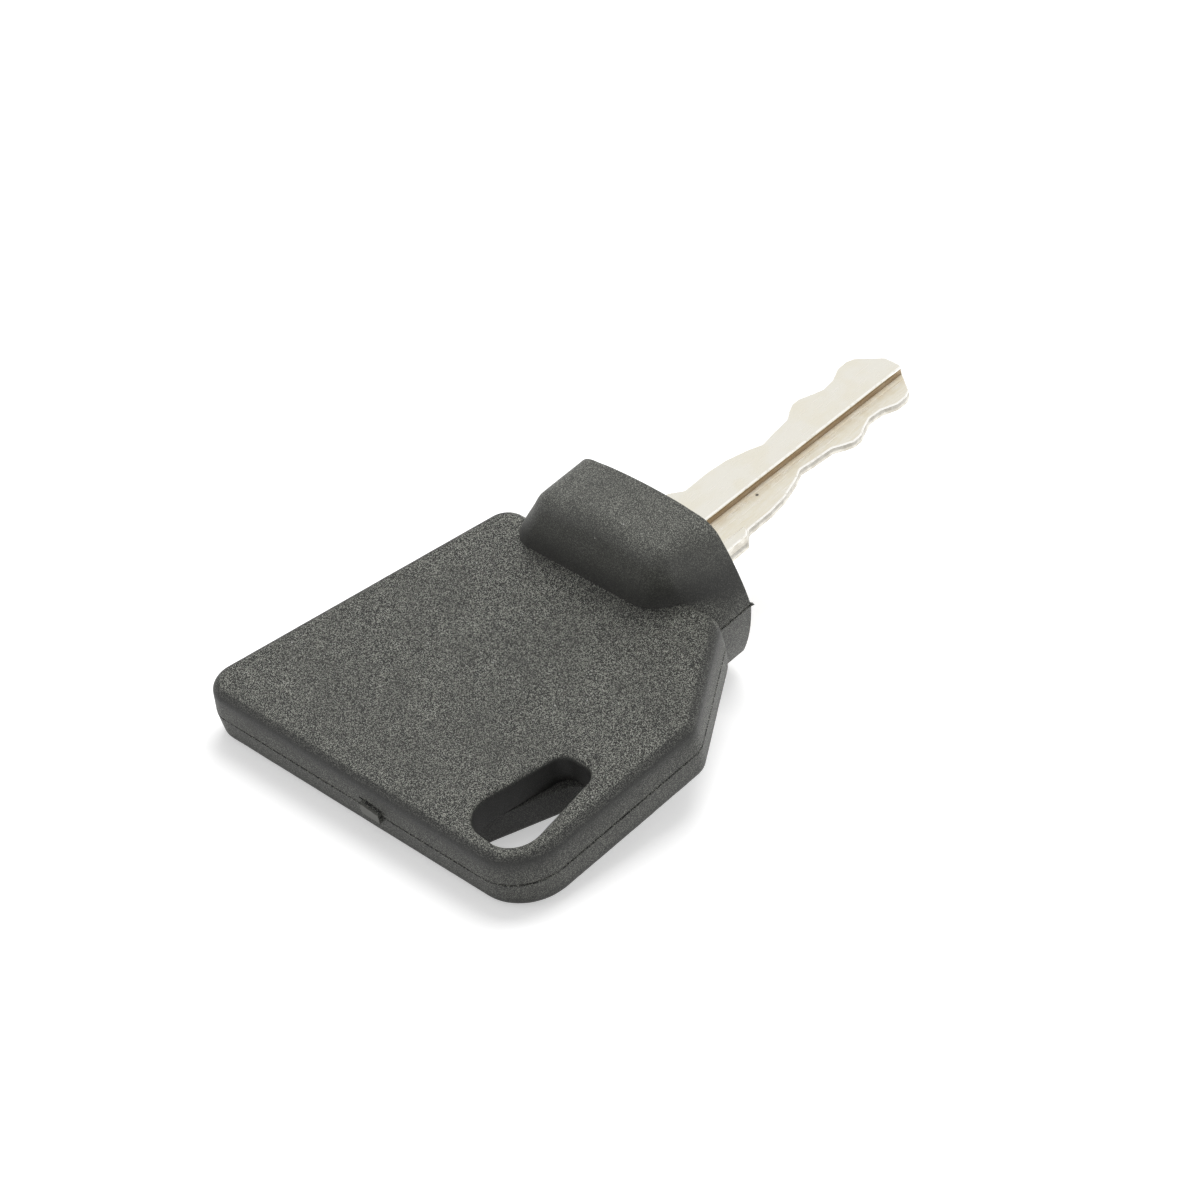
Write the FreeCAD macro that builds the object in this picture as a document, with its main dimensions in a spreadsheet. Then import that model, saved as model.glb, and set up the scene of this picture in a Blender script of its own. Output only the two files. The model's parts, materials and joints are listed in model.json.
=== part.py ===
"""Ignition key: a moulded grip on a double-sided flat blade.

Units are millimetres. Each body is drawn in the key's own frame: X across the
grip with the key-ring slot on the +X side, Y along the blade towards its tip,
Z through the thickness. Zero is on the blade's axis, at the front face of the
collar, halfway through the thickness. One common placement then lays the key
down as it rests on a table, on the collar and on the rear edge of the grip.
"""
import math
import os

import FreeCAD
import Part
import Sketcher

os.makedirs("parts", exist_ok=True)
doc = FreeCAD.newDocument("ignition_key")

# Driving sizes. Every feature below reads its sizes from these cells.
SIZES = [
    # grip plate, seen from above
    ("plate_thick", 5.5),
    ("rear_reach", 35.15),
    ("front_reach", 4.3),
    ("right_reach", 18.92),
    ("chamfer_start", 14.7),
    ("chamfer_end", 11.8),
    ("left_rear", 20.55),
    ("left_front", 13.95),
    ("rear_left_corner", 2.6),
    ("rear_right_corner", 4.7),
    ("front_corner", 2.2),
    ("plate_draft", 3.5),
    ("plate_edge", 0.95),
    # key-ring slot: the bands of plastic left beside it, and its own size
    ("rear_band_left", 2.1),
    ("rear_band_right", 1.6),
    ("right_band_rear", 1.67),
    ("right_band_front", 3.12),
    ("slot_deep", 10.45),
    ("slot_rear_wide", 7.5),
    ("slot_front_wide", 3.8),
    ("slot_rear_corner", 2.5),
    ("slot_front_corner", 1.4),
    ("slot_lip", 0.45),
    # collar
    ("collar_half_wide", 10.4),
    ("collar_upper_x", 7.65),
    ("collar_upper_z", 7.74),
    ("collar_lower_x", 7.55),
    ("collar_lower_z", 7.35),
    ("collar_crown_radius", 48.0),
    ("collar_side_radius", 21.6),
    ("collar_side_edge", 2.6),
    ("collar_deep", 8.17),
    ("collar_slope", 15.2),
    ("collar_rear_edge", 1.9),
    # blade and its hidden tang
    ("blade_thick", 1.58),
    ("tang_half", 4.75),
    ("tang_reach", 15.0),
    ("tang_hole", 4.0),
    ("tang_hole_reach", 10.5),
    ("shoulder_reach", 5.5),
    ("shoulder_inner", 3.75),
    ("groove_side", 0.92),
    ("groove_deep", 0.72),
    ("groove_start", 1.2),
    ("tip_reach", 29.0),
    ("tip_half", 0.9),
    ("bit_round", 0.45),
    ("milled_side", 6.0),
    ("step_clear", 0.6),
    # gate mark on the rear edge
    ("gate_from", 0.1),
    ("gate_wide", 2.3),
    ("gate_high", 1.1),
    ("gate_proud", 0.35),
    ("gate_root", 0.8),
    # how far a cut runs past the face that it opens
    ("cut_past", 1.0),
]
# Edge of the bitting: hundredths of the way from the shoulder to the tip, and
# half width there.
BITTING = [
    (4.7, 3.72),
    (16.6, 3.72),
    (25.1, 3.45),
    (34.5, 2.70),
    (39.1, 2.15),
    (44.7, 2.38),
    (54.0, 2.60),
    (57.9, 3.20),
    (61.3, 3.62),
    (65.1, 3.60),
    (70.2, 3.02),
    (74.0, 2.68),
    (79.6, 2.80),
    (85.5, 3.48),
    (90.2, 3.50),
    (93.4, 3.15),
]

sheet = doc.addObject("Spreadsheet::Sheet", "Sizes")
row = 1


def cell(name, text):
    """Write one named cell."""
    global row
    sheet.set("A%d" % row, name)
    sheet.set("B%d" % row, text)
    sheet.setAlias("B%d" % row, name)
    row += 1


for name, value in SIZES:
    cell(name, str(value))
cell("bitting_long", "=tip_reach - shoulder_reach")
for n, (share, half) in enumerate(BITTING):
    cell("bit_share_%d" % n, str(share))
    cell("bit_along_%d" % n, "=shoulder_reach + bit_share_%d / 100 * bitting_long" % n)
    cell("bit_half_%d" % n, str(half))

# The key touches the table with the rear edge round of the plate and the rear
# edge round of the collar. Their centres give the slope it lies at.
cell("plate_edge_y", "=plate_edge / cos(plate_draft * 1 deg)"
     " + (plate_thick / 2 - plate_edge) * tan(plate_draft * 1 deg) - rear_reach")
cell("plate_edge_z", "=plate_edge - plate_thick / 2")
for half in ("upper", "lower"):
    cell("collar_%s_reach" % half, "=collar_%s_z + collar_crown_radius"
         " - sqrt(pow(collar_crown_radius; 2) - pow(collar_%s_x; 2))" % (half, half))
cell("collar_edge_y", "=-collar_deep + (collar_lower_reach - collar_rear_edge) * tan(collar_slope * 1 deg)"
     " + collar_rear_edge / cos(collar_slope * 1 deg)")
cell("collar_edge_z", "=collar_rear_edge - collar_lower_reach")
cell("collar_cut_high", "=collar_upper_reach + collar_lower_reach")
cell("collar_rear_run", "=collar_cut_high * tan(collar_slope * 1 deg)")
cell("edge_span", "=sqrt(pow(collar_edge_y - plate_edge_y; 2) + pow(collar_edge_z - plate_edge_z; 2))")
cell("rest_slope", "=asin((collar_rear_edge - plate_edge) / edge_span) / 1 deg"
     " - atan((collar_edge_z - plate_edge_z) / (collar_edge_y - plate_edge_y)) / 1 deg")
cell("rest_lift", "=plate_edge - plate_edge_y * sin(rest_slope * 1 deg)"
     " - plate_edge_z * cos(rest_slope * 1 deg)")
# The origin lies under the middle of the key's box, so its four ends are needed:
# the round of the rear left corner, the straight right side, the gate mark, the tip.
cell("left_slant", "=atan((left_rear - left_front) / (rear_reach - front_reach)) / 1 deg")
cell("left_reach", "=left_rear + rear_left_corner"
     " - rear_left_corner * (1 + sin(left_slant * 1 deg)) / cos(left_slant * 1 deg)")
cell("centre_x", "=(right_reach - left_reach) / 2")
cell("centre_y", "=((tip_reach - rear_reach - gate_proud) * cos(rest_slope * 1 deg)"
     " + (blade_thick - gate_high) / 2 * sin(rest_slope * 1 deg)) / 2")
# The slot keeps its place beside the right rear corner when the plate changes.
cell("slot_right_rear", "=right_reach - right_band_rear")
cell("slot_right_front", "=right_reach - right_band_front")
cell("slot_reach_left", "=rear_reach - rear_band_left")
cell("slot_reach_right", "=rear_reach - rear_band_right")
cell("slot_front", "=slot_reach_right - slot_deep")
cell("slot_left_rear", "=slot_right_rear - slot_rear_wide")
cell("slot_left_front", "=slot_right_front - slot_front_wide")
doc.recompute()


def value(name):
    """Number now held by a named cell."""
    return float(getattr(sheet, name))


def body(name):
    """Start a body of that name."""
    made = doc.addObject("PartDesign::Body", name)
    made.Label = name
    return made


def sketch(owner, role, name):
    """Start a sketch on one of the body's own origin planes."""
    made = owner.newObject("Sketcher::SketchObject", name)
    for feature in owner.Origin.OriginFeatures:
        if feature.Role == role:
            made.AttachmentSupport = [(feature, "")]
    made.MapMode = "FlatFace"
    return made


def bind(drawn, index, name, formula):
    """Drive one constraint of a sketch from the sheet."""
    drawn.renameConstraint(index, name)
    drawn.setExpression("Constraints." + name, formula)


def place_point(drawn, edge, end, tag, across, up):
    """Fix one end point by two formulas, measured from the sketch's zero."""
    for kind, formula in (("DistanceX", across), ("DistanceY", up)):
        point = drawn.getPoint(edge, end)
        now = point.x if kind == "DistanceX" else point.y
        if abs(now) < 1e-9:
            drawn.addConstraint(Sketcher.Constraint("PointOnObject", edge, end,
                                                    -2 if kind == "DistanceX" else -1))
            continue
        if now > 0:
            index = drawn.addConstraint(Sketcher.Constraint(kind, -1, 1, edge, end, now))
            bind(drawn, index, tag + kind[-1], formula)
        else:
            index = drawn.addConstraint(Sketcher.Constraint(kind, edge, end, -1, 1, -now))
            bind(drawn, index, tag + kind[-1], "-(" + formula + ")")


def number(formula):
    """Present value of a formula of cells, used to draw the first shape."""
    text = formula
    for name in sorted(NAMES, key=len, reverse=True):
        text = text.replace("Sizes." + name, "%r" % value(name))
    return simple_sum(text)


def simple_sum(text):
    """Add up a plain sum of products and quotients."""
    total = 0.0
    for term in text.replace(" ", "").replace("--", "+").replace("-", "+-").split("+"):
        if not term or term == "-":
            continue
        sign = -1.0 if term.startswith("-") else 1.0
        term = term.lstrip("-")
        product = 1.0
        for factor in term.split("*"):
            parts = factor.split("/")
            quotient = float(parts[0])
            for divisor in parts[1:]:
                quotient /= float(divisor)
            product *= quotient
        total += sign * product
    return total


NAMES = [name for name, _ in SIZES]
NAMES += ["collar_rear_run", "collar_cut_high"]
NAMES += ["slot_right_rear", "slot_right_front", "slot_left_rear", "slot_left_front"]
NAMES += ["slot_reach_left", "slot_reach_right", "slot_front"]
NAMES += ["bit_along_%d" % n for n in range(len(BITTING))]
NAMES += ["bit_half_%d" % n for n in range(len(BITTING))]


def polygon(drawn, corners, tag):
    """Closed polygon whose corners are pairs of formulas."""
    points = [FreeCAD.Vector(number(a), number(b), 0) for a, b in corners]
    first = drawn.GeometryCount
    count = len(points)
    for i in range(count):
        drawn.addGeometry(Part.LineSegment(points[i], points[(i + 1) % count]), False)
    for i in range(count):
        drawn.addConstraint(Sketcher.Constraint("Coincident", first + i, 2,
                                                first + (i + 1) % count, 1))
    for i in range(count):
        place_point(drawn, first + i, 1, "%s%d" % (tag, i), corners[i][0], corners[i][1])
    return first


def round_edges(owner, name, base, picked, cell_name):
    """Round the picked edges of a feature with a radius from the sheet."""
    made = owner.newObject("PartDesign::Fillet", name)
    made.Base = (base, picked)
    made.setExpression("Radius", "Sizes." + cell_name)
    doc.recompute()
    return made


def edges_where(feature, test):
    """Names of the feature's edges that pass a test."""
    return ["Edge%d" % (i + 1) for i, edge in enumerate(feature.Shape.Edges) if test(edge)]


def upright(edge):
    """True for an edge that runs through the thickness."""
    box = edge.BoundBox
    return box.ZLength > 1.0 and box.XLength < 0.6 and box.YLength < 0.6


# Grip plate
plate = body("grip_plate")
outline = sketch(plate, "XY_Plane", "plate_outline")
polygon(outline, [
    ("-Sizes.left_rear", "-Sizes.rear_reach"),
    ("Sizes.right_reach", "-Sizes.rear_reach"),
    ("Sizes.right_reach", "-Sizes.chamfer_start"),
    ("Sizes.chamfer_end", "-Sizes.front_reach"),
    ("-Sizes.left_front", "-Sizes.front_reach"),
], "P")
slab = plate.newObject("PartDesign::Pad", "plate_slab")
slab.Profile = outline
slab.Midplane = True
slab.setExpression("Length", "Sizes.plate_thick")
slab.setExpression("TaperAngle", "-Sizes.plate_draft")
doc.recompute()

# The key-ring slot goes right through, beside the right rear corner.
slot_outline = sketch(plate, "XY_Plane", "slot_outline")
polygon(slot_outline, [
    ("Sizes.slot_left_rear", "-Sizes.slot_reach_left"),
    ("Sizes.slot_right_rear", "-Sizes.slot_reach_right"),
    ("Sizes.slot_right_front", "-Sizes.slot_front"),
    ("Sizes.slot_left_front", "-Sizes.slot_front"),
], "S")
slot = plate.newObject("PartDesign::Pocket", "ring_slot")
slot.Profile = slot_outline
slot.Type = "ThroughAll"
slot.Midplane = True
doc.recompute()
TOUCH = 0.01


def in_slot(edge):
    """True for an edge of the slot's walls."""
    centre = edge.BoundBox.Center
    return (value("slot_left_rear") - TOUCH < centre.x < value("slot_right_rear") + TOUCH
            and -value("slot_reach_right") - TOUCH < centre.y < -value("slot_front") + TOUCH)


def outer_corner(edge):
    """True for an upright edge of the plate's own outline."""
    return upright(edge) and not in_slot(edge)


# All upright corners are rounded first, and then the borders of the flat faces.
plate_middle = -(value("rear_reach") + value("chamfer_start")) / 2
slot_middle = -(value("slot_front") + value("slot_reach_left")) / 2
left_round = round_edges(plate, "rear_left_round", slot, edges_where(
    slot, lambda e: outer_corner(e) and e.BoundBox.Center.y < plate_middle
    and e.BoundBox.Center.x < 0), "rear_left_corner")
right_round = round_edges(plate, "rear_right_round", left_round, edges_where(
    left_round, lambda e: outer_corner(e) and e.BoundBox.Center.y < plate_middle
    and e.BoundBox.Center.x > value("chamfer_end")), "rear_right_corner")
front_round = round_edges(plate, "front_corners", right_round, edges_where(
    right_round, lambda e: outer_corner(e) and e.BoundBox.Center.y > plate_middle),
    "front_corner")
slot_rear = round_edges(plate, "slot_rear_corners", front_round, edges_where(
    front_round, lambda e: upright(e) and in_slot(e) and e.BoundBox.Center.y < slot_middle),
    "slot_rear_corner")
slot_round = round_edges(plate, "slot_front_corners", slot_rear, edges_where(
    slot_rear, lambda e: upright(e) and in_slot(e) and e.BoundBox.Center.y > slot_middle),
    "slot_front_corner")


def on_flat_face(edge):
    """True for an edge that lies in the top or the bottom face."""
    box = edge.BoundBox
    return box.ZLength < 1e-4 and abs(abs(box.Center.z) - value("plate_thick") / 2) < 1e-3


border = round_edges(plate, "plate_border", slot_round, edges_where(
    slot_round, lambda e: on_flat_face(e) and not in_slot(e)), "plate_edge")
lips = round_edges(plate, "slot_lips", border, edges_where(
    border, lambda e: on_flat_face(e) and in_slot(e)), "slot_lip")

# Gate mark: the stub of plastic left on the rear edge by the mould
gate_outline = sketch(plate, "XZ_Plane", "gate_outline")
polygon(gate_outline, [
    ("Sizes.gate_from", "-Sizes.gate_high / 2"),
    ("Sizes.gate_from + Sizes.gate_wide", "-Sizes.gate_high / 2"),
    ("Sizes.gate_from + Sizes.gate_wide", "Sizes.gate_high / 2"),
    ("Sizes.gate_from", "Sizes.gate_high / 2"),
], "G")
gate_outline.setExpression("AttachmentOffset.Base.z", "Sizes.rear_reach - Sizes.gate_root")
gate = plate.newObject("PartDesign::Pad", "gate_mark")
gate.Profile = gate_outline
gate.setExpression("Length", "Sizes.gate_root + Sizes.gate_proud")
doc.recompute()

# Collar: the halves of the mould meet at the parting plane, and the lower half
# is a little smaller. Each half is an arched section pushed back from the front.
def arc_between(drawn, start, end, radius, tag):
    """Outward bulging arc between two points, with its radius on the sheet."""
    reach = value(radius)
    chord = end - start
    middle = (start + end) * 0.5
    across = FreeCAD.Vector(-chord.y, chord.x, 0).normalize()
    if across.dot(middle) > 0:
        across = across * -1.0
    centre = middle + across * (reach ** 2 - (chord.Length / 2) ** 2) ** 0.5
    high = centre + (middle - centre).normalize() * reach
    index = drawn.addGeometry(Part.Arc(start, high, end), False)
    bind(drawn, drawn.addConstraint(Sketcher.Constraint("Radius", index, reach)), tag,
         "Sizes." + radius)
    return index


def end_at(drawn, edge, corner):
    """Which end of an edge of a sketch lies at a corner."""
    return 1 if (drawn.getPoint(edge, 1) - corner).Length < 1e-3 else 2


def arched_section(drawn, side, up):
    """Three arcs over the width, closed by a line on the parting plane."""
    across_cell = "Sizes.collar_%s_x" % side
    high_cell = "%sSizes.collar_%s_z" % (up, side)
    ring = [
        ("Sizes.collar_half_wide", "0"),
        (across_cell, high_cell),
        ("-" + across_cell, high_cell),
        ("-Sizes.collar_half_wide", "0"),
    ]
    corners = [FreeCAD.Vector(number(a), number(b), 0) for a, b in ring]
    radii = ["collar_side_radius", "collar_crown_radius", "collar_side_radius"]
    for i, radius in enumerate(radii):
        arc_between(drawn, corners[i], corners[i + 1], radius, "T%d" % i)
    drawn.addGeometry(Part.LineSegment(corners[3], corners[0]), False)
    for i, corner in enumerate(corners):
        before = (i - 1) % len(ring)
        drawn.addConstraint(Sketcher.Constraint("Coincident", before,
                                                end_at(drawn, before, corner),
                                                i, end_at(drawn, i, corner)))
    for i, (across, high) in enumerate(ring):
        place_point(drawn, i, end_at(drawn, i, corners[i]), "C%d" % i, across, high)


def along_axis(edge):
    """True for an edge that runs along the blade, off the parting plane."""
    box = edge.BoundBox
    return box.YLength > 2 and box.XLength < 0.5 and abs(box.Center.z) > 2


def rear_edge(edge):
    """True for an edge round the sloped rear face, off the parting plane."""
    rise = math.tan(math.radians(value("collar_slope")))
    ends = [v.Point for v in edge.Vertexes]
    on_rear = all(abs(p.y + value("collar_deep") - rise * abs(p.z)) < 1e-3 for p in ends)
    return on_rear and abs(edge.BoundBox.Center.z) > 0.5


def collar_half(side, up):
    """One half of the collar, on the side of the parting plane that up gives."""
    made = body("collar_%s_half" % side)
    section = sketch(made, "XZ_Plane", "%s_section" % side)
    arched_section(section, side, up)
    arch = made.newObject("PartDesign::Pad", "%s_arch" % side)
    arch.Profile = section
    arch.setExpression("Length", "Sizes.collar_deep")
    doc.recompute()
    profile = sketch(made, "YZ_Plane", "%s_rear_side" % side)
    polygon(profile, [
        ("-Sizes.collar_deep", "0"),
        ("-Sizes.collar_deep + Sizes.collar_rear_run", up + "Sizes.collar_cut_high"),
        ("-Sizes.collar_deep - Sizes.cut_past", up + "Sizes.collar_cut_high"),
        ("-Sizes.collar_deep - Sizes.cut_past", "0"),
    ], "W")
    sloped = made.newObject("PartDesign::Pocket", "%s_rear_slope" % side)
    sloped.Profile = profile
    sloped.Type = "ThroughAll"
    sloped.Midplane = True
    doc.recompute()
    cheeks = round_edges(made, "%s_side_edges" % side, sloped,
                         edges_where(sloped, along_axis), "collar_side_edge")
    round_edges(made, "%s_rear_edges" % side, cheeks,
                edges_where(cheeks, rear_edge), "collar_rear_edge")
    return made


upper = collar_half("upper", "")
lower = collar_half("lower", "-")

# Blade with its tang: one stamping, the same thickness all over
def flat_pair(owner, name, corners, tag):
    """Sketch on the parting plane made of one polygon."""
    drawn = sketch(owner, "XY_Plane", name)
    polygon(drawn, corners, tag)
    return drawn


blade = body("key_blade")
right_side = [("Sizes.tang_half", "-Sizes.tang_reach"), ("Sizes.tang_half", "Sizes.shoulder_reach")]
for n in range(len(BITTING)):
    right_side.append(("Sizes.bit_half_%d" % n, "Sizes.bit_along_%d" % n))
right_side.append(("Sizes.tip_half", "Sizes.tip_reach"))
left_side = [("-" + across, up) for across, up in reversed(right_side)]
stamp = flat_pair(blade, "blade_outline", right_side + left_side, "B")
strip = blade.newObject("PartDesign::Pad", "blade_strip")
strip.Profile = stamp
strip.Midplane = True
strip.setExpression("Length", "Sizes.blade_thick")
doc.recompute()


def bitting_corner(edge):
    """True for an upright edge at a corner of the bitting or the shoulder."""
    return upright(edge) and edge.BoundBox.Center.y > value("shoulder_reach") - 0.1


smooth = round_edges(blade, "bitting_rounds", strip, edges_where(strip, bitting_corner),
                     "bit_round")
hole_outline = sketch(blade, "XY_Plane", "tang_hole_outline")
hole_outline.addGeometry(Part.Circle(FreeCAD.Vector(0, -value("tang_hole_reach"), 0),
                                     FreeCAD.Vector(0, 0, 1), value("tang_hole") / 2), False)
hole_outline.addConstraint(Sketcher.Constraint("PointOnObject", 0, 3, -2))
bind(hole_outline, hole_outline.addConstraint(
    Sketcher.Constraint("DistanceY", 0, 3, -1, 1, value("tang_hole_reach"))),
    "H1", "Sizes.tang_hole_reach")
bind(hole_outline, hole_outline.addConstraint(
    Sketcher.Constraint("Diameter", 0, value("tang_hole"))), "H2", "Sizes.tang_hole")
hole = blade.newObject("PartDesign::Pocket", "tang_hole_cut")
hole.Profile = hole_outline
hole.Type = "ThroughAll"
hole.Midplane = True
doc.recompute()

# The two milled steps, one from each face, are the same cut turned half a
# turn about the blade's axis. Each leaves a thick block at its shoulder.
for turn, tag in ((1, "upper"), (-1, "lower")):
    flat = "Sizes." if turn > 0 else "-Sizes."
    step_outline = flat_pair(blade, "step_%s_outline" % tag, [
        (flat + "groove_side", "Sizes.groove_start"),
        (flat + "shoulder_inner", "Sizes.groove_start"),
        (flat + "shoulder_inner", "Sizes.shoulder_reach + Sizes.step_clear"),
        (flat + "milled_side", "Sizes.shoulder_reach + Sizes.step_clear"),
        (flat + "milled_side", "Sizes.tip_reach + Sizes.cut_past"),
        (flat + "groove_side", "Sizes.tip_reach + Sizes.cut_past"),
    ], "M")
    if turn > 0:
        step_outline.setExpression("AttachmentOffset.Base.z", "Sizes.blade_thick / 2")
    else:
        step_outline.setExpression("AttachmentOffset.Base.z", "-Sizes.blade_thick / 2")
    milled = blade.newObject("PartDesign::Pocket", "step_" + tag)
    milled.Profile = step_outline
    milled.setExpression("Length", "Sizes.groove_deep")
    milled.Reversed = turn < 0
    doc.recompute()

# Room for the tang in the moulding, with the plastic pin that fills its hole
room = body("tang_room")
room_outline = flat_pair(room, "room_outline", [
    ("-Sizes.tang_half", "-Sizes.tang_reach"),
    ("Sizes.tang_half", "-Sizes.tang_reach"),
    ("Sizes.tang_half", "0"),
    ("-Sizes.tang_half", "0"),
], "R")
room_outline.addGeometry(Part.Circle(FreeCAD.Vector(0, -value("tang_hole_reach"), 0),
                                     FreeCAD.Vector(0, 0, 1), value("tang_hole") / 2), False)
room_outline.addConstraint(Sketcher.Constraint("PointOnObject", 4, 3, -2))
bind(room_outline, room_outline.addConstraint(
    Sketcher.Constraint("DistanceY", 4, 3, -1, 1, value("tang_hole_reach"))),
    "H1", "Sizes.tang_hole_reach")
bind(room_outline, room_outline.addConstraint(
    Sketcher.Constraint("Diameter", 4, value("tang_hole"))), "H2", "Sizes.tang_hole")
space = room.newObject("PartDesign::Pad", "tang_space")
space.Profile = room_outline
space.Midplane = True
space.setExpression("Length", "Sizes.blade_thick")
doc.recompute()

# The moulded grip is one piece: plate and collar together, less the tang room.
moulded = doc.addObject("Part::MultiFuse", "plate_and_collar")
moulded.Shapes = [plate, upper, lower]
moulded.Refine = True
head = doc.addObject("Part::Cut", "key_head")
head.Label = "key_head"
head.Base = moulded
head.Tool = room
doc.recompute()

for piece in (head, blade):
    piece.Placement = FreeCAD.Placement(FreeCAD.Vector(0, 0, 0),
                                        FreeCAD.Rotation(FreeCAD.Vector(1, 0, 0), 10))
    piece.setExpression("Placement.Base.x", "-Sizes.centre_x")
    piece.setExpression("Placement.Base.y", "-Sizes.centre_y")
    piece.setExpression("Placement.Base.z", "Sizes.rest_lift")
    piece.setExpression("Placement.Rotation.Angle", "Sizes.rest_slope")
doc.recompute()

for item in doc.Objects:
    if "Invalid" in item.State or "Error" in item.State:
        raise RuntimeError("%s did not compute: %s" % (item.Name, item.State))
for piece in (head, blade):
    shape = piece.Shape
    if shape.isNull() or not shape.isValid() or len(shape.Solids) != 1:
        raise RuntimeError("%s is not one valid solid" % piece.Label)
    shape.exportStep("parts/%s.step" % piece.Label)
    box = shape.BoundBox
    print("%s: %.1f mm3, X %.2f to %.2f, Y %.2f to %.2f, Z %.2f to %.2f" % (
        piece.Label, shape.Volume, box.XMin, box.XMax, box.YMin, box.YMax, box.ZMin, box.ZMax))
print("rests at %.4f degrees, raised %.4f mm, origin under %.4f, %.4f" % (
    value("rest_slope"), value("rest_lift"), value("centre_x"), value("centre_y")))
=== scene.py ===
# %% [markdown]
# # An ignition key with a moulded grip and a flat, double-sided blade
#
# The real key is two things held together for good: a nickel-plated stamping with
# a bitting on both sides, and a grip of black glass-filled plastic moulded over its
# tang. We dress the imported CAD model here: its solids say where everything is, and
# this script adds the things that a mould, a press and a few years in a pocket leave
# behind, such as the parting line, the flash, the grain and the worn edges.

# %% The frame
import json
import math

import bmesh
import bpy
from mathutils import Matrix, Vector, noise


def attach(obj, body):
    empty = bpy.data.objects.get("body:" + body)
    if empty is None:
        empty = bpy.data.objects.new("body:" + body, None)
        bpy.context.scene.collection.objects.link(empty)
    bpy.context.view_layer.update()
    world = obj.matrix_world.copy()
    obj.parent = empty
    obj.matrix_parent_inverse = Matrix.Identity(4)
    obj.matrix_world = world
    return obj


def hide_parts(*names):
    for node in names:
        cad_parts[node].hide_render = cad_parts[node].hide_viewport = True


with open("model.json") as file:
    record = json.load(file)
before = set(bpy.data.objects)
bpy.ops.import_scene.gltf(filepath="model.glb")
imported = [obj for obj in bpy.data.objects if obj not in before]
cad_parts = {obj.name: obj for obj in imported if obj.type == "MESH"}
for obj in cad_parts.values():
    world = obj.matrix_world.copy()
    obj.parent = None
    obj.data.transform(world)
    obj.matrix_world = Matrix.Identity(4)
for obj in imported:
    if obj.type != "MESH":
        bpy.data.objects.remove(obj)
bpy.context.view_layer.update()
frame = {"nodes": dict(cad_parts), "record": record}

# %% [markdown]
# ## The key's own axes
#
# The key lies on its collar and on the rear edge of the grip, so it slopes by some
# ten degrees and no face of it is level. It is much easier to think in the key's own
# axes: X across the grip, Y along the blade, Z through the thickness, in millimetres,
# with zero where the blade leaves the collar on the parting plane. The record's
# blade mount stands exactly there and points along the blade, so it gives us both
# the place and the slope.

# %% From the table to the key and back
blade_mount = next(m for m in frame["record"]["mounts"] if m["name"] == "blade")
along = Vector(blade_mount["axis"])
slope = math.atan2(along.z, along.y)
to_table = (Matrix.Translation(Vector(blade_mount["pos_m"]))
            @ Matrix.Rotation(slope, 4, "X") @ Matrix.Scale(0.001, 4))
to_key = to_table.inverted()
print("the key slopes by %.2f degrees" % math.degrees(slope))


def merged_copy(node):
    """A bmesh of one CAD node in the key's axes, with its loose triangles joined."""
    bm = bmesh.new()
    bm.from_mesh(frame["nodes"][node].data)
    bmesh.ops.transform(bm, matrix=to_key, verts=bm.verts)
    bmesh.ops.remove_doubles(bm, verts=bm.verts, dist=0.0005)
    return bm


def finished_piece(bm, name, node, sharp_degrees):
    """Make the bmesh a piece that stands for a CAD node, with clean shading."""
    for edge in bm.edges:
        edge.smooth = edge.calc_face_angle(0.0) < math.radians(sharp_degrees)
    for face in bm.faces:
        face.smooth = True
    bmesh.ops.transform(bm, matrix=to_table, verts=bm.verts)
    mesh = bpy.data.meshes.new(name)
    bm.to_mesh(mesh)
    bm.free()
    piece = bpy.data.objects.new(name, mesh)
    bpy.context.scene.collection.objects.link(piece)
    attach(piece, "root")
    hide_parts(node)
    print("%s has %d faces" % (name, len(mesh.polygons)))
    return piece


# %% [markdown]
# ## The grip, and a mesh fine enough for mould marks
#
# The CAD mesh of the grip has long thin triangles, with nothing to take hold of
# between the corners. We cut it by planes, like a loaf into slices, once across and
# once along. Cuts don't change the shape, but after them each wall has a point every
# millimetre or so, and those points can carry the wavy edges of real plastic.

# %% Cut the grip into small fields
CELL = 0.9
grip = merged_copy("key_head")


def slice_up(bm, axis, spacing):
    """Cut the whole mesh by planes across one axis."""
    low = min(v.co[axis] for v in bm.verts)
    high = max(v.co[axis] for v in bm.verts)
    normal = Vector((0, 0, 0))
    normal[axis] = 1
    for i in range(1, math.ceil((high - low) / spacing)):
        point = normal * (low + i * spacing)
        bmesh.ops.bisect_plane(bm, geom=bm.verts[:] + bm.edges[:] + bm.faces[:],
                               plane_co=point, plane_no=normal, dist=0.0001)


slice_up(grip, 0, CELL)
slice_up(grip, 1, CELL)
print("the sliced grip has %d faces" % len(grip.faces))

# %% [markdown]
# ## The corners of the collar
#
# The collar doesn't leave the plate with two equal corners. Its right rear corner is
# drawn in, so the plate shows a wider shoulder there, and its left rear corner swells
# out a little. Both changes are strongest where the collar meets the plate. The foot
# of the collar has to slide over the plate with it, but the plate itself stays, so we
# first pick the points that touch a face of the collar.

# %% Draw one corner in and let the other swell
PLATE_TOP = 2.75
COLLAR_SPINE = 3
COLLAR_HALF = 10.6
COLLAR_REAR = -8.3
CORNER_IN = 2.2
CORNER_UP = 0.8
CORNER_OUT = 0.55
# below this height, near the parting plane, nothing moves
STILL_HEIGHT = 0.3


def ease(amount, start, end):
    """0 at the start and 1 at the end, with soft shoulders."""
    share = min(max((amount - start) / (end - start), 0.0), 1.0)
    return share * share * (3 - 2 * share)


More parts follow.
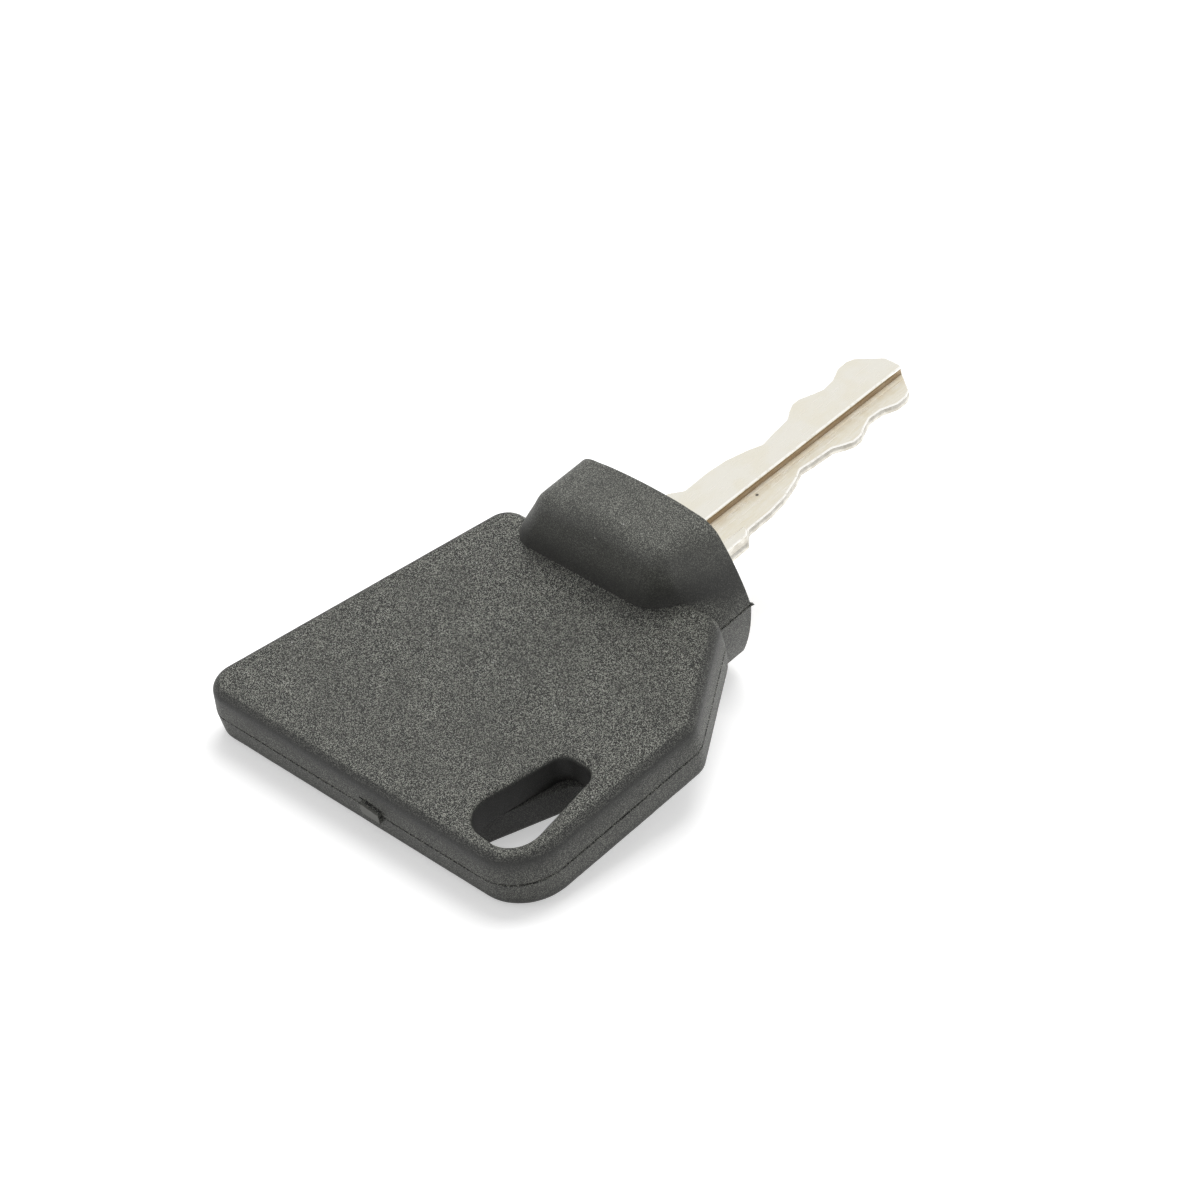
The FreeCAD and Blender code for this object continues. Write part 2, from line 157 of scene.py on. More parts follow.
def is_collar_face(face):
    """True for a face of the collar that stands on the plate."""
    centre = face.calc_center_median()
    at_corner = (COLLAR_SPINE < abs(centre.x) < COLLAR_HALF
                 and centre.y > COLLAR_REAR and centre.z > 0.2)
    steep = abs(face.normal.x) > 0.3 or face.normal.y < -0.3
    return at_corner and (steep or centre.z > PLATE_TOP + 0.05)


grip.normal_update()
collar_verts = {v for f in grip.faces if is_collar_face(f) for v in f.verts}
for vert in collar_verts:
    place = vert.co.copy()
    low = ease(place.z, STILL_HEIGHT, PLATE_TOP)
    behind = ease(-place.y, 0.0, 6.5)
    if place.x > 0:
        share = low * ease(place.x, 4.5, 9.5) * (1 - 0.5 * ease(place.z, 3.0, 8.0))
        vert.co.x -= CORNER_IN * share * behind
        vert.co.y += CORNER_UP * share * ease(-place.y, 4.5, 7.0)
    else:
        share = low * ease(-place.x, 6.0, 9.8) * (1 - ease(place.z, 3.5, 7.0))
        vert.co.x -= CORNER_OUT * share * behind
print("%d points of the collar moved" % len(collar_verts))

# %% [markdown]
# ## The parting line
#
# Two halves of a mould meet halfway through the thickness. They never close
# perfectly, so a dark, uneven line runs round every outer wall of the grip, round
# the collar, and down inside the ring slot. It could be painted as a stripe, but a
# groove catches real shadow from every side. Three cuts give the groove its two
# lips and its bottom. The hollow around the tang and the stub of the gate have no
# parting line, so we also need to know where they are.

# %% Cut the lips and the bottom of the groove
GROOVE_HALF = 0.105
TANG_HALF = 4.85
TANG_REACH = 15.1
GATE_LEFT = 0.1
GATE_RIGHT = 2.4
GATE_DEEP = 0.34
for height in (-GROOVE_HALF, 0.0, GROOVE_HALF):
    bmesh.ops.bisect_plane(grip, geom=grip.verts[:] + grip.edges[:] + grip.faces[:],
                           plane_co=(0, 0, height), plane_no=(0, 0, 1), dist=0.0001)
rear = min(v.co.y for v in grip.verts)


def in_tang_room(point):
    """True in the hidden hollow that the blade's tang fills."""
    return abs(point.x) < TANG_HALF and -TANG_REACH < point.y < 0.1


def on_gate(point):
    """True on the stub that stands out of the rear wall."""
    return point.y < rear + GATE_DEEP and GATE_LEFT - 0.01 < point.x < GATE_RIGHT + 0.01


print("with its parting line the grip has %d faces" % len(grip.faces))

# %% [markdown]
# Now only the bottom of the groove is pushed into the plastic. The depth comes from
# a noise, so that the line opens and closes as the real one does. The front right
# corner of the collar keeps a sliver of plastic that was squeezed between the two
# halves of the mould: there the points are pulled out instead.

# %% Push the bottom of the groove in, and pull out a nib of flash
GROOVE_DEEP = 0.34
FLASH_LONG = 0.3
FLASH_FROM = 10.2
grip.normal_update()
moved = 0
for vert in grip.verts:
    if abs(vert.co.z) > 0.001 or in_tang_room(vert.co) or on_gate(vert.co):
        continue
    level = Vector((vert.normal.x, vert.normal.y, 0))
    if level.length < 0.2:
        continue
    level.normalize()
    if vert.co.x > 0 and vert.co.y > -0.001:
        if vert.co.x > FLASH_FROM:
            vert.co += level * FLASH_LONG
        continue
    wander = noise.noise(vert.co * 0.55) + 0.6 * noise.noise(vert.co * 1.9)
    vert.co -= level * GROOVE_DEEP * (0.75 + 0.55 * wander)
    moved += 1
print("%d points make the bottom of the parting line" % moved)

# %% [markdown]
# ## The two halves of the ring slot
#
# Each half of the mould has its own core for the ring slot, and their left sides
# don't agree. Below the parting line the wall is turned by some twelve degrees, so
# at one end it leaves a narrow ledge and at the other end it hides under the upper
# half. Only the points below the groove move, and the shift dies out in the plastic
# around the slot.

# %% Turn the lower left wall of the slot
TWIST = 0.214
TWIST_CENTRE = -28.05
# the left wall of the slot: its rear end, and how it leans towards the front
SLOT_LEFT = 9.75
SLOT_REAR = -33.05
SLOT_LEAN = 2.25 / 9.95
# the turn is full between the inner two of these places, and dies out to the outer two
TWIST_ENDS = (-34.6, -33.6, -22.9, -21.2)
twisted = 0
for vert in grip.verts:
    place = vert.co.copy()
    if place.z > -0.5 * GROOVE_HALF or not TWIST_ENDS[0] < place.y < TWIST_ENDS[3]:
        continue
    off_slot = place.x - (SLOT_LEFT + (place.y - SLOT_REAR) * SLOT_LEAN)
    at_wall = ease(off_slot, -3.6, -0.1) * (1 - ease(off_slot, 1.2, 4.0))
    at_middle = (ease(place.y, TWIST_ENDS[0], TWIST_ENDS[1])
                 * (1 - ease(place.y, TWIST_ENDS[2], TWIST_ENDS[3])))
    if at_wall * at_middle > 0:
        vert.co.x += TWIST * (place.y - TWIST_CENTRE) * at_wall * at_middle
        twisted += 1
print("%d points below the parting line turned" % twisted)

# %% [markdown]
# ## The gate scar
#
# Plastic enters the mould through a gate on the rear edge. When the sprue is broken
# off, a pale rough stub is left, and above it the plastic tears and leaves a
# dark ragged slot. The stub is in the CAD model. We cut the slot with a small
# wedge whose lower side is roughened, and subtract it with a Boolean.

# %% Shape the tear above the stub
TEAR_LONG = 3.1
TEAR_HIGH = 0.34
TEAR_DEEP = 1.5
TEAR_FIELDS = 12
TEAR_SLOPE = 0.09
TEAR_PLACE = Vector(((GATE_LEFT + GATE_RIGHT) / 2 + 0.1, rear + 0.7, 0.62))
tear = bmesh.new()
bmesh.ops.create_cube(tear, size=1.0)
bmesh.ops.scale(tear, verts=tear.verts, vec=(TEAR_LONG, TEAR_DEEP, TEAR_HIGH))
for i in range(1, TEAR_FIELDS):
    cut_at = (i / TEAR_FIELDS - 0.5) * TEAR_LONG
    bmesh.ops.bisect_plane(tear, geom=tear.verts[:] + tear.edges[:] + tear.faces[:],
                           plane_co=(cut_at, 0, 0), plane_no=(1, 0, 0))
for vert in tear.verts:
    ends = 1 - (2 * vert.co.x / TEAR_LONG) ** 2
    vert.co.z *= 0.25 + 0.75 * max(ends, 0.0)
    vert.co.z += 0.11 * noise.noise(Vector((vert.co.x * 2.3, 0.4, vert.co.z * 3)))
    vert.co.z -= TEAR_SLOPE * vert.co.x
bmesh.ops.recalc_face_normals(tear, faces=tear.faces)
bmesh.ops.translate(tear, verts=tear.verts, vec=TEAR_PLACE)
print("the tear is %.1f mm long" % TEAR_LONG)

# %% [markdown]
# A Boolean is a modifier, and a modifier needs objects. So both meshes become
# objects for a moment, and the result comes back as a bmesh.


# %% Take one mesh out of another
def cut_away(bm, cutter):
    """The first bmesh less the second one, by a Boolean modifier."""
    objects = []
    for part, name in ((bm, "whole"), (cutter, "cutter")):
        mesh = bpy.data.meshes.new(name)
        part.to_mesh(mesh)
        part.free()
        made = bpy.data.objects.new(name, mesh)
        bpy.context.scene.collection.objects.link(made)
        objects.append(made)
    whole, taken = objects
    modifier = whole.modifiers.new("cut", "BOOLEAN")
    modifier.operation = "DIFFERENCE"
    modifier.solver = "EXACT"
    modifier.object = taken
    bpy.context.view_layer.update()
    result = whole.evaluated_get(bpy.context.evaluated_depsgraph_get()).to_mesh()
    left = bmesh.new()
    left.from_mesh(result)
    for made in objects:
        bpy.data.objects.remove(made)
    return left


grip = cut_away(grip, tear)
print("the grip with its tear has %d faces" % len(grip.faces))

# %% [markdown]
# ## Soft waves in the plastic
#
# A moulding is never as flat as its drawing. Plastic shrinks as it cools, and the
# walls wander by a few hundredths of a millimetre. That is too little to see as a
# shape, but enough to make reflections and edges look moulded and not drawn. So we
# move each point a hair along its normal, by a slow noise.

# %% Let the walls wander
WAVE_HIGH = 0.03
grip.normal_update()
for vert in grip.verts:
    if in_tang_room(vert.co):
        continue
    wave = noise.noise(vert.co * 0.35) + 0.5 * noise.noise(vert.co * 1.1)
    vert.co -= vert.normal * WAVE_HIGH * (0.6 + 0.4 * wave)
moulding = finished_piece(grip, "grip_moulding", "key_head", 28)

# %% [markdown]
# ## The blade
#
# The blade is one stamping 1.6 mm thick. A cutter has milled a step along each face,
# half a turn apart, so its section is a flat Z. Every edge of it has been tumbled
# and plated, and years in a lock have polished the edges further. The burr along the
# long step is the brightest line of the whole key, so these edges get a wide round
# of their own before all others get a fine one.
#
# The thin triangles of the flat faces would hold the rounds back, so we first join
# them to whole faces, and merge the shortest edges. The wall of each step is going to
# move outwards at the tip and cover the rounded corner of the floor there, so that
# corner closes up too.

# %% Join the triangles and find the long edges
SHORTEST_EDGE = 0.07
CAD_WALL = 0.92
TIP_SIDE = 1.016
TIP_REACH = 28.92
TIP_LEAN = 0.713
blade = merged_copy("key_blade")
bmesh.ops.dissolve_limit(blade, angle_limit=math.radians(1), verts=blade.verts,
                         edges=blade.edges)
for vert in blade.verts:
    over_step = vert.co.x * vert.co.z > 0
    if over_step and CAD_WALL < abs(vert.co.x) < TIP_SIDE + 0.03 and vert.co.y > 28.9:
        vert.co.x = math.copysign(CAD_WALL, vert.co.x)
        vert.co.y = TIP_REACH
bmesh.ops.remove_doubles(blade, verts=blade.verts, dist=SHORTEST_EDGE)
blade_half = max(v.co.z for v in blade.verts)


def is_step_edge(edge):
    """True for the long upper edge of a milled step."""
    ends = [v.co for v in edge.verts]
    long_enough = abs(ends[0].y - ends[1].y) > 5
    on_face = all(abs(abs(p.z) - blade_half) < 0.001 for p in ends)
    inner = all(0.5 < abs(p.x) < 1.3 for p in ends)
    return long_enough and on_face and inner and edge.calc_face_angle(0.0) > 0.5


step_edges = [e for e in blade.edges if is_step_edge(e)]
print("the joined blade has %d faces and %d step edges" % (len(blade.faces), len(step_edges)))

# %% [markdown]
# The cutter ran a little askew, so the bar between the two steps widens towards the
# tip. The walls are set to that line first, and their ends slide along the slanting
# edge of the tip. Then their upper edges are rounded.

# %% Set the step walls askew and round their edges
STEP_ROUND = 0.17
WALL_START = 0.304
WALL_RISE = 0.028
for vert in blade.verts:
    on_wall = abs(abs(vert.co.x) - CAD_WALL) < 0.04 and vert.co.x * vert.co.z > 0
    if on_wall and 1.0 < vert.co.y < 29.2:
        side = math.copysign(1, vert.co.x)
        vert.co.x = side * (WALL_START + WALL_RISE * vert.co.y)
        if vert.co.y > 28.8:
            vert.co.y = TIP_REACH - TIP_LEAN * (abs(vert.co.x) - TIP_SIDE)
rounded = bmesh.ops.bevel(blade, geom=step_edges, offset=STEP_ROUND, offset_type="OFFSET",
                          segments=3, profile=0.5, affect="EDGES", material=-1,
                          clamp_overlap=False)
for face in rounded["faces"]:
    face.material_index = 1
print("%d long edges rounded" % len(step_edges))

# %% [markdown]
# Only edges that stand out are rubbed, and the foot of the step's wall stays as it
# is. The Bevel modifier takes this from an edge layer that holds its weights.

# %% Mark the edges that get the fine round
RUBBED_ANGLE = math.radians(45)
rubbed = blade.edges.layers.float.new("bevel_weight_edge")
marked_long = 0.0
for edge in blade.edges:
    if edge.is_convex and edge.calc_face_angle(0.0) > RUBBED_ANGLE:
        edge[rubbed] = 1.0
        marked_long += edge.calc_length()
print("%.0f mm of edges get the fine round, the shortest is %.2f mm" % (
    marked_long, min(e.calc_length() for e in blade.edges if e[rubbed] > 0)))

# %% [markdown]
# The modifier gives the faces that it makes the second material of the blade, which
# will be the bright one. Weighted normals keep the flat faces flat beside the rounds.

# %% Make the blade and give its other edges a fine round
FINE_ROUND = 0.00011
stamping = finished_piece(blade, "blade_stamping", "key_blade", 28)
fine = stamping.modifiers.new("tumbled edges", "BEVEL")
fine.width = FINE_ROUND
fine.segments = 3
fine.limit_method = "WEIGHT"
fine.use_clamp_overlap = False
fine.material = 1
for piece in (moulding, stamping):
    even = piece.modifiers.new("even shading", "WEIGHTED_NORMAL")
    even.keep_sharp = True
    even.weight = 60
print("the blade is %.2f mm thick" % (2 * blade_half))

# %% [markdown]
# ## Small helpers for materials
#
# A procedural material is a net of small sums. Written node by node it is long and
# hard to read, so a few helpers carry the load: they add a node and set or link its
# sockets, do a sum, fade between two values and mix two colours.


# %% Helpers that add nodes
def add(tree, kind, **sockets):
    """Add a node, and set or link the inputs that are named."""
    node = tree.nodes.new(kind)
    for name, given in sockets.items():
        socket = node.inputs[int(name[1:])] if name[1:].isdigit() else node.inputs[
            name.replace("_", " ")]
        if isinstance(given, bpy.types.NodeSocket):
            tree.links.new(given, socket)
        else:
            socket.default_value = given
    return node


def maths(tree, operation, a, b=0.0, c=0.0):
    """One sum of a net."""
    node = add(tree, "ShaderNodeMath", i0=a, i1=b, i2=c)
    node.operation = operation
    return node.outputs[0]


def product(tree, *factors):
    """Several values multiplied with each other."""
    result = factors[0]
    for factor in factors[1:]:
        result = maths(tree, "MULTIPLY", result, factor)
    return result


def fade(tree, amount, low, high, start=0.0, end=1.0):
    """Bring a value from one range to another, smoothly, and hold it there."""
    node = add(tree, "ShaderNodeMapRange", Value=amount, From_Min=low, From_Max=high,
               To_Min=start, To_Max=end)
    node.interpolation_type = "SMOOTHSTEP"
    return node.outputs[0]


def blend(tree, share, first, second):
    """Mix two colours."""
    node = tree.nodes.new("ShaderNodeMix")
    node.data_type = "RGBA"
    for socket, given in ((0, share), (6, first), (7, second)):
        if isinstance(given, bpy.types.NodeSocket):
            tree.links.new(given, node.inputs[socket])
        else:
            node.inputs[socket].default_value = given
    return node.outputs[2]


def new_material(name):
    """An empty material with a principled shader, and the two of them."""
    material = bpy.data.materials.new(name)
    material.use_nodes = True
    material.node_tree.nodes.clear()
    tree = material.node_tree
    shader = tree.nodes.new("ShaderNodeBsdfPrincipled")
    out = tree.nodes.new("ShaderNodeOutputMaterial")
    tree.links.new(shader.outputs[0], out.inputs["Surface"])
    return material, tree, shader


print("helpers for sums and colours are ready")

# %% [markdown]
# All patterns hang on Object coordinates, which turn and move with the key. The next
# helpers turn them into the key's own millimetres, and say where a point is: its
# three coordinates, its distance from a place, and how flat its face lies.


# %% Helpers for places and patterns
def key_point(tree):
    """The point being shaded, in the key's own axes and in millimetres."""
    place = add(tree, "ShaderNodeTexCoord").outputs["Object"]
    node = add(tree, "ShaderNodeMapping", Vector=place,
               Location=to_table.translation, Rotation=(slope, 0, 0),
               Scale=(0.001, 0.001, 0.001))
    node.vector_type = "TEXTURE"
    return node.outputs[0]


def axes_of(tree, vector):
    """The three numbers of a vector or a colour."""
    parts = add(tree, "ShaderNodeSeparateXYZ", Vector=vector)
    return parts.outputs["X"], parts.outputs["Y"], parts.outputs["Z"]


def flatness(tree):
    """1 on the faces that look up or down, 0 on the walls."""
    normal = add(tree, "ShaderNodeNewGeometry").outputs["Normal"]
    return maths(tree, "ABSOLUTE", axes_of(tree, normal)[2])


def noise_at(tree, point, scale, detail):
    """A soft noise between 0 and 1."""
    node = add(tree, "ShaderNodeTexNoise", Vector=point, Scale=scale, Detail=detail)
    return node.outputs["Fac"]


def distance_to(tree, point, centre):
    """How far a point is from a place."""
    gap = add(tree, "ShaderNodeVectorMath", i0=point, i1=centre)
    gap.operation = "DISTANCE"
    return gap.outputs["Value"]


def near(tree, point, centre, inner, outer):
    """1 within the inner distance of a place, fading to 0 at the outer one."""
    return fade(tree, distance_to(tree, point, centre), inner, outer, 1.0, 0.0)


print("helpers for places and patterns are ready")

# %% [markdown]
# ## The black plastic
#
# The mould was spark-eroded, which covers the flat faces with tiny sharp pits and
# peaks, less than a tenth of a millimetre apart. Each peak catches the light and each
# pit holds a shadow, so a black plastic looks grey and glittery. Walls that slide
# out of the mould are polished more, or they would drag, and look smoother. A noise
# and a Voronoi pattern make the grain, and how strong it is follows how flat a face
# lies in the mould.

# %% The grain of the plastic
GRAIN_SCALE = 15.5
CHIP_SCALE = 13.0
CHIP_SHARE = 0.22
GRAIN_HIGH = 0.00008
plastic, tree, shader = new_material("spark_eroded_black_plastic")
point = key_point(tree)
x_key, y_key, z_key = axes_of(tree, point)
grain = noise_at(tree, point, GRAIN_SCALE, 1.0)
chips = add(tree, "ShaderNodeTexVoronoi", Vector=point, Scale=CHIP_SCALE, Randomness=1.0)
chip = axes_of(tree, chips.outputs["Color"])[0]
surface = maths(tree, "MULTIPLY_ADD", chip, CHIP_SHARE,
                maths(tree, "MULTIPLY", grain, 1 - CHIP_SHARE))
squareness = flatness(tree)
grainy = fade(tree, squareness, 0.35, 0.95, 0.5, 1.0)
relief = add(tree, "ShaderNodeBump", Height=grain,
             Strength=maths(tree, "MULTIPLY", grainy, 0.8), Distance=GRAIN_HIGH)
print("the grain repeats about every %.2f mm" % (1 / GRAIN_SCALE))

# %% [markdown]
# ### Pits and peaks
#
# The colour runs from a pit that is nearly black to a grey peak. Fingers turn the key
# by its collar, so the grain is worn down on the collar's raised top. Where the walls
# of the collar come down to the plate, a painted shade makes them darkest.

# %% Colours of the grain
DARK_PIT = (0.005, 0.0052, 0.0045, 1)
BODY = (0.045, 0.0455, 0.040, 1)
PEAK = (0.385, 0.39, 0.344, 1)
RAISED_TOP = (0.115, 0.1165, 0.104, 1)
PAINTED_FOOT_SHADE = (0.014, 0.014, 0.0125, 1)
FOOT_HEIGHT = 3.0
speckled = blend(tree, fade(tree, surface, 0.53, 0.60), DARK_PIT, PEAK)
handled = blend(tree, fade(tree, z_key, 3.2, 4.2, 0.0, 0.35), speckled, RAISED_TOP)
calm = blend(tree, grainy, BODY, handled)
patches = noise_at(tree, point, 0.22, 3.0)
patchy = blend(tree, fade(tree, patches, 0.35, 0.7, 0.0, 0.3), calm, BODY)
# painted shade: the collar's walls are darkened where they come down to the plate
off_foot = maths(tree, "ABSOLUTE", maths(tree, "SUBTRACT", z_key, FOOT_HEIGHT))
foot = product(tree, fade(tree, squareness, 0.35, 0.6, 1.0, 0.0),
               fade(tree, off_foot, 0.25, 2.8, 0.75, 0.0))
foot_shaded = blend(tree, foot, patchy, PAINTED_FOOT_SHADE)
print("pits and peaks are coloured")

# %% [markdown]
# ### Dark slot and painted shade on the rims
#
# The core that made the slot was polished, so its walls are smooth and almost black,
# most of all above the parting line. On the rounded rim of the plate a painted shade
# lays a dark band between the speckled top and the greyer wall. A box
# with one cut corner tells the slot from the rim.

# %% Where the plastic is smooth and dark, and the painted shade on the rims
SMOOTH_DARK_AND_RIM_SHADE = (0.009, 0.009, 0.0085, 1)
high = maths(tree, "ABSOLUTE", z_key)
to_corner = maths(tree, "SUBTRACT", x_key, y_key)
in_slot = product(tree, fade(tree, x_key, 8.2, 8.7), fade(tree, x_key, 17.7, 17.9, 1.0, 0.0),
                  fade(tree, y_key, -34.3, -34.1), fade(tree, y_key, -22.6, -22.3, 1.0, 0.0),
                  fade(tree, to_corner, 50.1, 50.5, 1.0, 0.0))
core = product(tree, in_slot, fade(tree, high, 2.2, 2.5, 1.0, 0.0),
               fade(tree, z_key, -0.2, 0.3, 0.6, 0.85))
# painted shade: a dark band on the plate's rounded rim, outside the slot
rim = product(tree, maths(tree, "SUBTRACT", 1.0, in_slot),
              fade(tree, high, 2.66, 2.74, 1.0, 0.0), fade(tree, high, 1.2, 2.3, 0.0, 0.6),
              fade(tree, y_key, -5.3, -4.9, 1.0, 0.0))
smoothed_and_rim_shaded = blend(tree, maths(tree, "MAXIMUM", core, rim), foot_shaded, SMOOTH_DARK_AND_RIM_SHADE)
print("slot and rims are dark")

# %% [markdown]
# ### Marks on the plastic
#
# The torn stub is paler than the rest, because broken glass-filled plastic turns
# grey. Low on the collar's right side a small curved scratch stays dark. Both are
# found by their distance from a point in the key's own millimetres. Last come a few
# tiny flecks of lint, one near the middle of some of a Voronoi pattern's cells.

# %% Paler stub, dark scratch and flecks of lint
STUB_GREY = (0.15, 0.15, 0.135, 1)
SCRATCH_DARK = (0.015, 0.015, 0.014, 1)
LINT = (0.62, 0.62, 0.60, 1)
STUB_CENTRE = (1.25, rear, 0.0)
SCRATCH_CENTRE = (10.1, -2.85, -2.65)
SCRATCH_RADIUS = 0.62
stub = product(tree, near(tree, point, STUB_CENTRE, 0.9, 1.35),
               fade(tree, y_key, rear + 0.1, rear + 0.3, 1.0, 0.0))
off_ring = maths(tree, "ABSOLUTE", maths(
    tree, "SUBTRACT", distance_to(tree, point, SCRATCH_CENTRE), SCRATCH_RADIUS))
scratch = product(tree, fade(tree, off_ring, 0.03, 0.10, 0.75, 0.0),
                  fade(tree, y_key, -3.0, -2.8))
flecks = add(tree, "ShaderNodeTexVoronoi", Vector=point, Scale=0.5, Randomness=1.0)
chosen = axes_of(tree, flecks.outputs["Color"])[0]
lint = product(tree, fade(tree, flecks.outputs["Distance"], 0.02, 0.05, 0.8, 0.0),
               fade(tree, chosen, 0.55, 0.6))
paler = blend(tree, stub, smoothed_and_rim_shaded, STUB_GREY)
scratched = blend(tree, scratch, paler, SCRATCH_DARK)
linted = blend(tree, lint, scratched, LINT)
print("stub, scratch and lint are placed")

# %% [markdown]
# The peaks are also a little shinier than the pits, and with that the plastic is
# complete.

# %% Put the plastic on the grip
tree.links.new(linted, shader.inputs["Base Color"])
tree.links.new(relief.outputs[0], shader.inputs["Normal"])
tree.links.new(fade(tree, grain, 0.3, 0.7, 0.62, 0.48), shader.inputs["Roughness"])
moulding.data.materials.append(plastic)
print("plastic ready on %s" % moulding.name)

# %% [markdown]
# ## The nickel plate
#
# Nickel is a warm white metal. The stamped faces keep a faint satin grain along the
# blade, and the milled floors show the cutter's long strokes. The sides of the
# bitting were sheared or milled, so they are duller, with patches that are rubbed
# bright, and their darker colour is partly painted shade for the darker reflection they
# catch. The step's wall is painted brown, a painted reflection of dark surroundings,
# with grease in the corner at its foot.

# %% Patterns of the metal
nickel, tree, shader = new_material("nickel_plated_brass")
point = key_point(tree)
x_key, y_key, z_key = axes_of(tree, point)
stretched = add(tree, "ShaderNodeMapping", Vector=point, Scale=(1.0, 0.06, 1.0)).outputs[0]
strokes = noise_at(tree, stretched, 9.0, 4.0)
satin = noise_at(tree, point, 7.0, 3.0)
clouds = noise_at(tree, point, 0.5, 3.0)
rubs = noise_at(tree, point, 1.3, 2.0)
blots = noise_at(tree, point, 0.9, 4.0)
level = maths(tree, "ABSOLUTE", z_key)
on_floor = fade(tree, level, 0.3, 0.5, 1.0, 0.0)
squareness = flatness(tree)
print("the strokes run along the blade")

# %% [markdown]
# ### Faces and sides
#
# The faces drift between a cool and a warm nickel, the milled floors most of all.

# %% Colours of the faces and the sides
NICKEL = (0.83, 0.805, 0.73, 1)
WARM_NICKEL = (0.80, 0.75, 0.61, 1)
SHEARED_AND_SHADED = (0.56, 0.53, 0.465, 1)
PALE_SHEARED_AND_SHADED = (0.72, 0.695, 0.63, 1)
plate = blend(tree, fade(tree, clouds, 0.4, 0.7, 0.0, 0.4), NICKEL, WARM_NICKEL)
stroked = product(tree, on_floor, fade(tree, strokes, 0.35, 0.7, 0.0, 0.75))
floored = blend(tree, stroked, plate, WARM_NICKEL)
# the bitting's sides: sheared metal, and partly painted shade for their darker reflection
shaded_side_colour = blend(tree, fade(tree, rubs, 0.4, 0.62), SHEARED_AND_SHADED, PALE_SHEARED_AND_SHADED)
sided = blend(tree, fade(tree, squareness, 0.35, 0.6, 1.0, 0.0), floored, shaded_side_colour)
print("faces and sides are coloured")

# %% [markdown]
# ### The wall's painted brown reflection
#
# Seen from either face the wall stands at the same distance from the blade's axis,
# so the side is measured with its sign turned on the lower face. The wall's brown is a
# painted reflection, and a painted shade makes it darkest right under its bright upper
# edge. The floor beside it turns tan in blots, most near the wall.

# %% Painted brown reflection on the wall, and a tan floor beside it
BROWN = (0.42, 0.305, 0.185, 1)
UNDER_EDGE_SHADE_BROWN = (0.16, 0.115, 0.07, 1)
TAN = (0.70, 0.60, 0.42, 1)
across = maths(tree, "MULTIPLY", x_key, maths(tree, "SIGN", z_key))
wall_x = maths(tree, "MULTIPLY_ADD", y_key, WALL_RISE, WALL_START)
from_wall = maths(tree, "SUBTRACT", across, wall_x)
wall = product(tree, fade(tree, maths(tree, "ABSOLUTE", from_wall), 0.03, 0.07, 1.0, 0.0),
               fade(tree, level, 0.60, 0.70, 1.0, 0.0))
# painted reflection: the wall's brown stands for the dark surroundings it mirrors
painted_wall_reflection = blend(tree, fade(tree, strokes, 0.4, 0.8, 0.0, 0.4), BROWN, WARM_NICKEL)
# painted shade: a darker brown right under the wall's upper edge
wall_colour = blend(tree, fade(tree, level, 0.42, 0.6, 0.0, 0.65), painted_wall_reflection, UNDER_EDGE_SHADE_BROWN)
tanned = product(tree, on_floor, squareness, fade(tree, from_wall, 0.3, 2.0, 0.6, 0.12),
                 fade(tree, blots, 0.36, 0.6, 0.35, 1.0))
walled = blend(tree, wall, blend(tree, tanned, sided, TAN), wall_colour)
print("the wall is brown")

# %% [markdown]
# ### A brown line, and dirt in a pit
#
# A thin brown line runs along the floor a little way from the wall and breaks up
# here and there. One small pit on the floor is full of black dirt.

# %% A thin brown line and a dark spot
DIRT = (0.035, 0.03, 0.025, 1)
LINE_START = 0.79
LINE_RISE = 0.033
SPOT_CENTRE = (1.34, 10.18, 0.07)
drift = maths(tree, "MULTIPLY_ADD", y_key, LINE_RISE, LINE_START)
off_line = maths(tree, "ABSOLUTE", maths(tree, "SUBTRACT", across, drift))
line = product(tree, fade(tree, off_line, 0.015, 0.05, 0.45, 0.0), on_floor,
               fade(tree, clouds, 0.4, 0.55, 0.25, 1.0))
lined = blend(tree, line, walled, BROWN)
spot = product(tree, near(tree, point, SPOT_CENTRE, 0.08, 0.2), 0.9)
spotted = blend(tree, spot, lined, DIRT)
print("dirt is on the floor")

# %% [markdown]
# ### Shine
#
# Grease in the corner dulls the floor beside the wall, where it is less of a mirror.
# The strokes make the metal rougher and smoother in turns, and give it a faint
# relief.

# %% Put the nickel on the blade
RELIEF_HIGH = 0.00006
dulled = product(tree, on_floor, fade(tree, from_wall, 0.45, 0.85, 0.75, 0.0))
rough = fade(tree, strokes, 0.3, 0.7, 0.26, 0.38)
mixed = maths(tree, "ADD", maths(tree, "MULTIPLY", satin, 0.35),
              product(tree, strokes, on_floor, 0.9))
relief = add(tree, "ShaderNodeBump", Height=mixed, Strength=0.35, Distance=RELIEF_HIGH)
tree.links.new(spotted, shader.inputs["Base Color"])
tree.links.new(maths(tree, "SUBTRACT", 1.0, dulled), shader.inputs["Metallic"])
tree.links.new(maths(tree, "MAXIMUM", rough, maths(tree, "MULTIPLY", wall, 0.55)),
               shader.inputs["Roughness"])
tree.links.new(relief.outputs[0], shader.inputs["Normal"])
stamping.data.materials.append(nickel)
print("nickel ready on %s" % stamping.name)

# %% [markdown]
# ### Polished edges
#
# Keys are tumbled before plating and then rub in pockets and locks, so their edges
# are worn smoother than the faces, and their lighter colour is also a painted highlight.
# The rounds of the blade already ask for its second material, which is a lighter,
# smoother nickel.

# %% A brighter nickel on the rounded edges, partly a painted highlight
RUBBED_AND_PAINTED_HIGHLIGHT = (0.97, 0.955, 0.91, 1)
bright, tree, shader = new_material("rubbed_nickel_edge_painted_highlight")
wear = noise_at(tree, key_point(tree), 2.2, 3.0)
